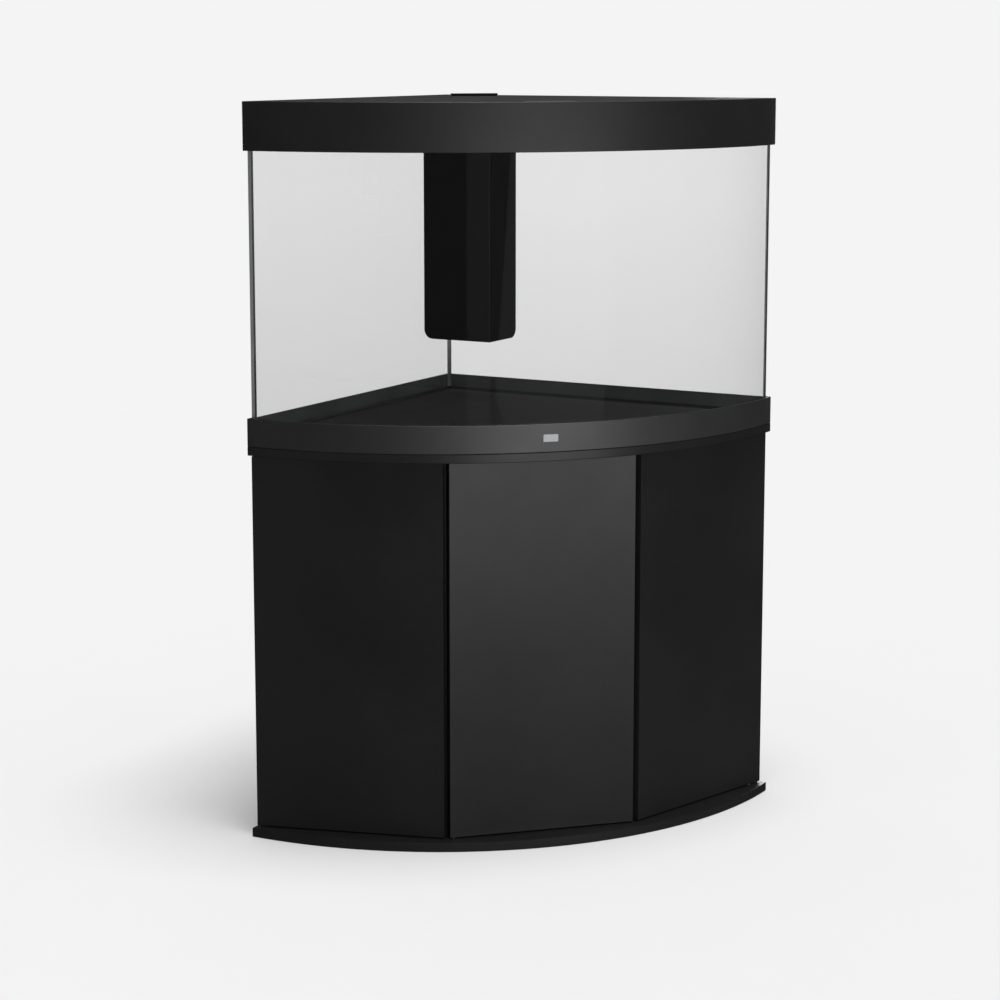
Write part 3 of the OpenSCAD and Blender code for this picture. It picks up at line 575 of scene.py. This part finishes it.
def inside_tank(frame_piece, node, painted_shading):
    """Gives the faces that stand inside the tank a lighter, bluish finish: painted light for the
    light that hardly reaches them.
    """
    mesh = frame_piece.data
    mesh.materials.append(painted_shading)
    low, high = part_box(node)
    middle = (low + high) / 2
    for face in mesh.polygons:
        inward = Vector((middle.x - face.center.x, middle.y - face.center.y, 0)).normalized()
        if face.center.z > middle.z and face.normal.dot(inward) > 0.5:
            face.material_index = len(mesh.materials) - 1


lower_frame = finished("lower_frame", 1.3 * MM, plastic, plastic_edge, 4)
# The faces inside the tank get the painted light
inside_tank(lower_frame, "lower_frame", plastic_inside_painted_light)
finished("upper_frame", 1.3 * MM, plastic, plastic_edge, 4)


def ground_ends(flat_pane, finish):
    """Gives a flat pane's two upright end faces the ground finish of a cut edge."""
    mesh = flat_pane.data
    mesh.materials.append(finish)
    largest = max(face.area for face in mesh.polygons)
    for face in mesh.polygons:
        if abs(face.normal.z) < 0.1 and face.area < largest / 10:
            face.material_index = len(mesh.materials) - 1


for node in ("rear_left_glass", "rear_right_glass"):
    ground_ends(finished(node, 0.8 * MM, pane, pane_edge, 2), ground_edge)
finished("front_glass", 0.8 * MM, pane, pane_edge, 2)
finished("floor_glass", 0.8 * MM, floor_black, pane_edge, 2)
finished("name_plaque", 0.3 * MM, plaque_face, segments=2)


def bead(node, step=5 * MM, swing=0.18 * MM, waves=60):
    """A silicone seam, whose surface swells and thins a little along its length."""
    bm = clean_copy(node)
    low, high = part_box(node)
    z = low.z + step
    while z < high.z - step:
        whole = bm.verts[:] + bm.edges[:] + bm.faces[:]
        bmesh.ops.bisect_plane(bm, geom=whole, plane_co=(0, 0, z), plane_no=(0, 0, 1))
        z += step
    bm.normal_update()
    end = 0.1 * MM
    for v in bm.verts:
        if low.z + end < v.co.z < high.z - end:
            v.co -= v.normal * swing * (0.5 + 0.5 * noise.noise(v.co * waves))
    made = piece(node + "_bead", mesh_of(bm, node), node, [seam_grey], [node])
    return even_normals(made)


for node in ("rear_corner_seal", "left_end_seal", "right_end_seal"):
    bead(node)
finished("floor_seal", 0.2 * MM, silicone, segments=1)
finished("filter_pads", 0.3 * MM, silicone, segments=2)

# Cover: light bar, lamps and flaps
finished("light_housing", 1.0 * MM, plastic, plastic_edge)
for node in ("front_flap", "rear_flap"):
    finished(node, 0.9 * MM, plastic, plastic_edge)
finished("splash_cover", 0.6 * MM, acrylic, segments=2)
finished("cable_gland", 0.6 * MM, filter_plastic, segments=2)


def lamp(node):
    """A lamp tube: frosted glass, and a metal cap with two contact pins at each end."""
    low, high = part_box(node)
    r, half = (high.z - low.z) / 2, (high.x - low.x) / 2
    centre = (low + high) / 2
    cap, pin = 12 * MM, 6 * MM
    neck, glass_r, end_r = 3 * MM, r * 0.98, r * 0.9
    overlap, dome = 1 * MM, 1 * MM
    pin_r, pin_off = 1.1 * MM, 2.5 * MM
    glass = bmesh.new()
    along = Matrix.Translation(centre) @ Matrix.Rotation(math.radians(90), 4, "Y")
    inner = half - cap
    parts = [
        (0, -inner),
        (end_r, -inner),
        (glass_r, -inner + neck),
        (glass_r, inner - neck),
        (end_r, inner),
        (0, inner),
    ]
    lathe(glass, rounded_profile(parts, 2 * MM), along)
    piece(node + "_glass", mesh_of(glass, node), node, [lamp_glass], [node])
    caps = bmesh.new()
    cap_parts = [
        (0, inner - overlap),
        (r, inner - overlap),
        (r, half - pin),
        (r * 0.8, half - pin + dome),
        (0, half - pin + dome),
    ]
    pin_parts = [(0, half - pin), (pin_r, half - pin), (pin_r, half), (0, half)]
    for turn in (0, 180):
        end = along @ Matrix.Rotation(math.radians(turn), 4, "Y")
        lathe(caps, rounded_profile(cap_parts, 0.8 * MM), end)
        for side in (-1, 1):
            contact = end @ Matrix.Translation((side * pin_off, 0, 0))
            lathe(caps, rounded_profile(pin_parts, 0.4 * MM), contact, 16)
    piece(node + "_caps", mesh_of(caps, node + "_caps"), node, [steel])


lamp("front_light_tube")
lamp("rear_light_tube")


def sockets():
    """Screwed lamp holders: a ribbed ring round the tube and a plain body behind it."""
    low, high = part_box("tube_sockets")
    r = (high.z - low.z) / 2
    deep, ring_end, body_start = 31 * MM, 20 * MM, 18.5 * MM
    plug, ribs, rib_start, rib_long, rib_sink = 1.4 * MM, 20, 29.5 * MM, 8 * MM, 0.25 * MM
    rib_outline = [
        (-0.3 * MM, -0.8 * MM),
        (0.25 * MM, -0.45 * MM),
        (0.25 * MM, 0.45 * MM),
        (-0.3 * MM, 0.8 * MM),
    ]
    bm = bmesh.new()
    for tube_node in ("front_light_tube", "rear_light_tube"):
        tube_lo, tube_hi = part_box(tube_node)
        bore = (tube_hi.z - tube_lo.z) / 2
        centre = (tube_lo + tube_hi) / 2
        end = high.x - centre.x
        outside = [
            (bore, end - deep),
            (r, end - deep),
            (r, end - ring_end),
            (r * 0.88, end - body_start),
            (r * 0.88, end),
            (0, end),
        ]
        inside = [(0, end - plug), (bore, end - plug), (bore, end - deep)]
        for side in (-1, 1):
            place = Matrix.Translation(centre) @ Matrix.Rotation(math.radians(90 * side), 4, "Y")
            lathe(bm, rounded_profile(outside, 1.2 * MM), place)
            lathe(bm, inside, place)
            bmesh.ops.remove_doubles(bm, verts=bm.verts, dist=1e-7)
            for rib in range(ribs):
                turn = place @ Matrix.Rotation(2 * math.pi * rib / ribs, 4, "Z")
                rib_place = turn @ Matrix.Translation((r - rib_sink, 0, end - rib_start))
                prism(bm, rib_outline, rib_place, rib_long)
    mesh = mesh_of(bm, "lamp_holders")
    made = piece("lamp_holders", mesh, "tube_sockets", [filter_plastic], ["tube_sockets"])
    return even_normals(made)


sockets()


def gear():
    """The lamps' control gear: a pale plastic case with cooling ribs along it."""
    low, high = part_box("control_gear")
    width, height = high.y - low.y, high.z - low.z
    count, cut = 6, 2.2 * MM
    pitch = width / count
    groove_start, groove_end = 0.28, 0.72  # shares of the pitch
    outline = [(0, height), (0, 0)]
    for i in range(count):
        left, right = i * pitch + pitch * groove_start, i * pitch + pitch * groove_end
        outline += [(left, 0), (left, cut), (right, cut), (right, 0)]
    outline += [(width, 0), (width, height)]
    lengthwise = Matrix(((0, 0, 1, 0), (1, 0, 0, 0), (0, 1, 0, 0), (0, 0, 0, 1)))
    bm = bmesh.new()
    prism(bm, outline, Matrix.Translation(low) @ lengthwise, high.x - low.x)
    mesh = mesh_of(bm, "control_gear")
    made = piece("control_gear_case", mesh, "control_gear", [nylon], ["control_gear"])
    return round_edges(made, 0.4 * MM, 2)


gear()

# Filter: box, baskets, media and pump
filter_box = finished("filter_housing", 0.9 * MM, filter_plastic)
filter_box.visible_glossy = False  # the rear panes don't mirror it
finished("heater_clips", 0.6 * MM, filter_plastic, segments=2)
finished("pump_body", 0.7 * MM, pump_plastic, segments=2)
impeller = finished("pump_impeller", 0.35 * MM, rotor, segments=2)
impeller.modifiers["edges"].use_clamp_overlap = True  # or its vanes' short edges throw spikes
finished("heater_dial", 0.4 * MM, dial_red, segments=2)
finished("impeller_shaft", 0.3 * MM, ceramic, segments=2)
for node in ("outlet_pipe", "outlet_nozzle"):
    finished(node, 0.3 * MM, pump_plastic, segments=2)


def basket(node):
    """A filter basket with the wire handle that it is lifted by."""
    finished(node, 0.5 * MM, filter_plastic, segments=2)
    inset, sink, rise, steps = 4 * MM, 14 * MM, 9 * MM, 28
    low, high = corner_box(node)
    middle, reach = (low + high) / 2, (high.x - low.x) / 2 - inset
    arc = [math.radians(180 * i / steps) for i in range(steps + 1)]
    points = [
        CORNER
        @ Vector((middle.x - reach * math.cos(t), middle.y, high.z - sink + rise * math.sin(t)))
        for t in arc
    ]
    bm = bmesh.new()
    tube(bm, points, 1.4 * MM)
    piece(node + "_handle", mesh_of(bm, node + "_handle"), node, [steel])


basket("lower_basket")
basket("upper_basket")


def rings():
    """Ceramic filter rings, poured loosely into the lower basket."""
    low, high = corner_box("ceramic_media")
    pick = random.Random(4)
    size, wall, pitch, chamfer = 11 * MM, 2.6 * MM, 13.6 * MM, 0.4 * MM
    share_of_size = 0.42  # of the outer radius and of half the length
    outer, inner = size * share_of_size, size * share_of_size - wall
    counts = [max(1, int((high[i] - low[i]) / pitch)) for i in range(3)]
    bm = bmesh.new()
    for cell in itertools.product(*[range(count) for count in counts]):
        share = Vector([(cell[a] + 0.5) / counts[a] for a in range(3)])
        centre = Vector([low[a] + share[a] * (high[a] - low[a]) for a in range(3)])
        half = size * pick.uniform(0.78, 0.98) * share_of_size
        tip = Matrix.Rotation(pick.uniform(0, math.pi), 4, "X")
        turn = Matrix.Rotation(pick.uniform(0, math.pi), 4, "Y")
        place = CORNER @ Matrix.Translation(centre) @ (tip @ turn)
        outline = [
            (inner, -half),
            (outer - chamfer, -half),
            (outer, -half + chamfer),
            (outer, half - chamfer),
            (outer - chamfer, half),
            (inner, half),
            (inner, -half),
        ]
        lathe(bm, outline, place, 14)
    bmesh.ops.remove_doubles(bm, verts=bm.verts, dist=MERGE)
    mesh = mesh_of(bm, "ceramic_rings")
    made = piece("ceramic_rings", mesh, "ceramic_media", [ceramic], ["ceramic_media"])
    return even_normals(made)


rings()


def soft_block(node, material, step, depth, corner):
    """A cut block of foam or fibre: soft corners and an uneven surface, inside its solid."""
    low, high = corner_box(node)
    size = high - low
    bm = bmesh.new()
    cuts = [max(2, round(size[i] / step)) for i in range(3)]
    seen = {}

    def vertex(i, j, k):
        if (i, j, k) not in seen:
            seen[i, j, k] = bm.verts.new((i / cuts[0], j / cuts[1], k / cuts[2]))
        return seen[i, j, k]

    for axis in range(3):
        a, b = [x for x in range(3) if x != axis]
        for end in (0, cuts[axis]):
            for u in range(cuts[a]):
                for v in range(cuts[b]):
                    loop = []
                    for du, dv in ((0, 0), (1, 0), (1, 1), (0, 1)):
                        at = [0, 0, 0]
                        at[axis], at[a], at[b] = end, u + du, v + dv
                        loop.append(vertex(*at))
                    bm.faces.new(loop)
    for v in bm.verts:
        p = Vector([(v.co[i] - 0.5) * size[i] for i in range(3)])
        reach = [size[i] / 2 - corner for i in range(3)]
        core = Vector([max(-reach[i], min(reach[i], p[i])) for i in range(3)])
        normal = (p - core).normalized()
        p = core + normal * corner
        rough = 0.5 + 0.5 * noise.fractal(p * 130, 0.8, 2.1, 4)
        p -= normal * depth * max(0.0, min(1.0, rough))
        v.co = CORNER @ ((low + high) / 2 + p)
    made = piece(node + "_block", mesh_of(bm, node), node, [material], [node])
    return made


soft_block("filter_sponge", sponge_blue, 2.6 * MM, 1.3 * MM, 3 * MM)
soft_block("filter_floss", floss_white, 2.2 * MM, 3.2 * MM, 7 * MM)


def heater():
    """A glass heater: a tube with a wound element inside, under a ribbed black cap."""
    low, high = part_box("heater_tube")
    cap_r = (high.x - low.x) / 2
    r, cap_h, wall = cap_r - 2 * MM, 42 * MM, 1.2 * MM
    centre = Matrix.Translation(((low.x + high.x) / 2, (low.y + high.y) / 2, 0))
    foot, neck = low.z + r, high.z - cap_h
    bore, top = r - wall, neck + 1 * MM
    down = [math.radians(90 * i / 10) for i in range(11)]
    back = [math.radians(80 - 80 * i / 8) for i in range(9)]
    outside = [(r * math.sin(t), foot - r * math.cos(t)) for t in down]
    inside = [(bore * math.sin(t), foot - bore * math.cos(t)) for t in back]
    glass = bmesh.new()
    lathe(glass, outside + [(r, top), (bore, top), (bore, foot)] + inside, centre)
    mesh = mesh_of(glass, "heater_glass")
    piece("heater_glass_tube", mesh, "heater_tube", [heater_glass], ["heater_tube"])

    core_r, core_foot, core_head = 3.4 * MM, foot + 14 * MM, neck + 2 * MM
    parts = [(0, core_foot), (core_r, core_foot), (core_r, core_head), (0, core_head)]
    core = bmesh.new()
    lathe(core, rounded_profile(parts, 1 * MM), centre, 24)
    piece("heater_core", mesh_of(core, "heater_core"), "heater_tube", [ceramic])

    coil_r, turns, per_turn = 4.6 * MM, 60, 14
    steps = turns * per_turn
    start, end = foot + 20 * MM, foot + 150 * MM
    points = []
    for i in range(steps + 1):
        t = 2 * math.pi * i / per_turn
        z = start + (end - start) * i / steps
        points.append(centre @ Vector((coil_r * math.cos(t), coil_r * math.sin(t), z)))
    coil = bmesh.new()
    tube(coil, points, 0.45 * MM, 6)
    piece("heater_element", mesh_of(coil, "heater_element"), "heater_tube", [steel])

    groove, groove_pitch, groove_foot = 0.8 * MM, 5 * MM, neck + 6 * MM
    parts = [(0, neck), (cap_r, neck)]
    for i in range(5):
        z = groove_foot + i * groove_pitch
        parts += [
            (cap_r, z),
            (cap_r - groove, z + 1 * MM),
            (cap_r - groove, z + 2 * MM),
            (cap_r, z + 3 * MM),
        ]
    parts += [(cap_r, high.z), (0, high.z)]
    cap = bmesh.new()
    lathe(cap, rounded_profile(parts, 0.5 * MM), centre, 56)
    piece("heater_cap", mesh_of(cap, "heater_cap"), "heater_tube", [pump_plastic])


heater()

# ---- Studio ---------------------------------------------------------------------------------

PAPER = 0.905
world = bpy.data.worlds.new("studio")
scene.world = world
world.use_nodes = True
sky = world.node_tree.nodes["Background"]
sky.inputs["Color"].default_value = (PAPER, PAPER, PAPER, 1)


def by_bounce(tree, seen, mirrored, scattered):
    """A strength that depends on whether light is seen directly, in a mirroring surface, or has
    been scattered."""
    path = tree.nodes.new("ShaderNodeLightPath")
    value = None
    for depth, strength in (("Glossy Depth", mirrored), ("Diffuse Depth", scattered)):
        step = tree.nodes.new("ShaderNodeMapRange")
        tree.links.new(path.outputs[depth], step.inputs["Value"])
        if value:
            tree.links.new(value, step.inputs["To Min"])
        else:
            step.inputs["To Min"].default_value = seen
        step.inputs["To Max"].default_value = strength
        value = step.outputs[0]
    return value


# The studio is pale where it is seen, and dark where it would only show as a reflection
world.node_tree.links.new(by_bounce(world.node_tree, 1.0, 0.06, 0.30), sky.inputs["Strength"])

FLOOR_RADIUS = 60.0
FLOOR_DROP = 0.2 * MM  # keeps the floor off the base board's underside
floor_mesh = bpy.data.meshes.new("floor")
bm = bmesh.new()
bmesh.ops.create_circle(bm, cap_ends=True, segments=128, radius=FLOOR_RADIUS)
bm.to_mesh(floor_mesh)
bm.free()
floor = bpy.data.objects.new("floor", floor_mesh)
floor.location.z = -FLOOR_DROP
scene.collection.objects.link(floor)
paper = Graph("pale_paper")
pale, paler = (0.795, 0.795, 0.795, 1), (0.805, 0.805, 0.805, 1)
paper.set(
    Base_Color=paper.blend(paper.noise(3.0, 4.0), pale, paler),
    Roughness=1.0,
    Specular_IOR_Level=0.0,
)
# The floor, too, is left out of reflections
unseen = paper.node("BsdfTransparent")
in_mirrors = by_bounce(paper.tree, 0.0, 1.0, 0.0)
surface = paper.node("MixShader", {0: in_mirrors, 1: paper.shader.outputs[0], 2: unseen.outputs[0]})
floor_mesh.materials.append(paper.done(surface.outputs[0]))
floor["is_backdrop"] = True


def group(name, pieces):
    made = bpy.data.collections.new(name)
    for o in pieces:
        made.objects.link(o)
    return made


def starting(pieces, *starts):
    return [o for o in pieces if o.name.startswith(starts)]


# The softboxes light everything but the panes, which would mirror them at full strength
lit = group("lit_pieces", [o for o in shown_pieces() if o.material_slots[0].material is not pane])
front_pane = group("front_pane", starting(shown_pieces(), "front_glass"))
tank_foot = group("tank_foot", starting(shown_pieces(), "lower_frame", "floor_glass"))


def lamp_light(name, kind, energy, place, aim, size=None, receivers=None, roll=0.0):
    """A lamp at place, turned toward aim. size is an area lamp's width and height."""
    data = bpy.data.lights.new(name, kind)
    data.energy = energy
    made = bpy.data.objects.new(name, data)
    scene.collection.objects.link(made)
    made.location = place
    facing = (Vector(aim) - Vector(place)).to_track_quat("-Z", "Y").to_matrix().to_4x4()
    made.rotation_euler = (facing @ Matrix.Rotation(math.radians(roll), 4, "Z")).to_euler()
    if kind == "AREA":
        data.shape = "RECTANGLE"
        data.size, data.size_y = size
        made.visible_camera = False
        made.visible_transmission = False
    if receivers:
        made.light_linking.receiver_collection = receivers
    return made


def softbox(name, watts, place, aim, size, receivers, roll=0.0):
    return lamp_light(name, "AREA", watts, place, aim, size, receivers, roll)


overhead = lamp_light("overhead", "SUN", 2.73, (0.3, -0.5, 4.0), (0, 0, 0))
overhead.data.angle = math.radians(30)
softbox("front_softbox", 85.0, (0.76, -3.4, 0.38), (0, -0.1, 0.38), (2.8, 0.7), lit)
softbox("top_softbox", 45.0, (0.4, 0.2, 3.6), (0, 0, 1.3), (2.4, 2.4), lit)
# The walls that stand in the room's corner get their own light, below the cover's top and off
# the tank floor and filter box, which the panes show
shown = starting(lit.objects, "floor_glass", "filter_housing")
away = group("outside_the_panes", [o for o in lit.objects if o not in shown])
for side, end in ((-1, "_left"), (1, "_right")):
    softbox("rear_softbox" + end, 80.0, (side * 2.6, 3.0, 1.0), (0, 0.1, 0.6), (2.0, 1.4), away)
# A high fill reaches over the tank's foot, and two dim panels show as faint reflections in the
# front pane
softbox("tank_fill", 80.0, (0.7, -3.0, 1.9), (0, 0.1, 0.73), (1.5, 1.0), tank_foot)
glow_aim = (0, -0.3, 0.8)
softbox("pane_glow_wide", 1.4, (1.1, -3.4, 0.62), glow_aim, (2.1, 1.5), front_pane, roll=-22)
softbox("pane_glow_narrow", 0.2, (-0.4, -3.4, 0.65), glow_aim, (0.42, 1.5), front_pane)

# The photo's viewing angle
CAMERA_PLACE = (-1.2464, -4.3257, 1.4046)
CAMERA_TILT, CAMERA_HEADING = math.radians(80.85), math.radians(-16.19)
camera_data = bpy.data.cameras.new("camera")
camera_data.lens, camera_data.sensor_width = 87.66, 36.0
camera_data.shift_y = -0.06
camera = bpy.data.objects.new("camera", camera_data)
camera.location = CAMERA_PLACE
camera.rotation_euler = (CAMERA_TILT, 0, CAMERA_HEADING)
scene.collection.objects.link(camera)
scene.camera = camera
scene.view_settings.view_transform = "Standard"
scene.view_settings.look = "None"
